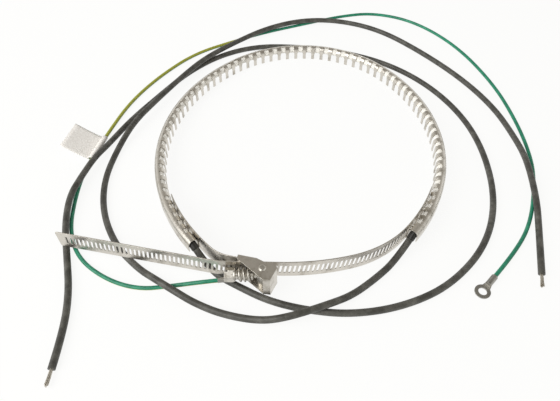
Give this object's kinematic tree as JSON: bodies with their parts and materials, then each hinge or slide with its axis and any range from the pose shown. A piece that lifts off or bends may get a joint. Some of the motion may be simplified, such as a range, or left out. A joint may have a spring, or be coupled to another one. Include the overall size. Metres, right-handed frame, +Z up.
{
  "type": "crankcase heater",
  "caption": "Belly band crankcase heater: a comb-sided steel channel with a heating rope, closed into a ring by a worm clamp, with two leads and a ground wire.",
  "frame": {"origin": "on the table, at the middle of the ring and clamp's footprint, cords left out", "axes": "+Z up, along the axis of the ring; +X to the viewer's right, along the clamp's tail; +Y away from the viewer"},
  "size_m": [0.3226, 0.3403, 0.0194],
  "materials": {
    "stainless_sheet": "rolled, with handling marks",
    "rope_jacket": "off-white braid",
    "black_sleeve": "matte",
    "plated_steel": "bright plated",
    "tinned_terminal": "dull tinned",
    "tinned_copper": "tinned strands",
    "lead_jacket": "matte",
    "ground_jacket": "green with a yellow-green stripe",
    "label_paper": "matte"
  },
  "bodies": {
    "ring": {"heater_channel": "stainless_sheet", "left_strap": "stainless_sheet", "slotted_band": "stainless_sheet", "saddle": "stainless_sheet", "heating_rope": "rope_jacket", "end_sleeve_left": "black_sleeve", "end_sleeve_right": "black_sleeve", "pivot_pin_upper": "plated_steel", "pivot_pin_lower": "plated_steel", "ground_terminal": "tinned_terminal", "ground_rivet": "plated_steel", "ring_terminal": "tinned_terminal", "lead_left": "lead_jacket", "lead_right": "lead_jacket", "lead_left_strands": "tinned_copper", "lead_right_strands": "tinned_copper", "ground_wire": "ground_jacket", "label_flag": "label_paper"},
    "yoke": {"swivel_block": "plated_steel"},
    "worm": {"worm_screw": "plated_steel", "screw_clip": "plated_steel"}
  },
  "joints": [
    {"name": "screw_swing", "type": "hinge", "parent": "ring", "child": "yoke", "pos_m": [-0.00128, -0.10701, 0.01157], "axis": [0, 0.0236, 0.9997], "range_deg": [0, 40]},
    {"name": "screw_spin", "type": "hinge", "parent": "yoke", "child": "worm", "pos_m": [-0.00128, -0.10701, 0.01157], "axis": [0.9997, -0.0262, 0.0006], "continuous": true}
  ]
}
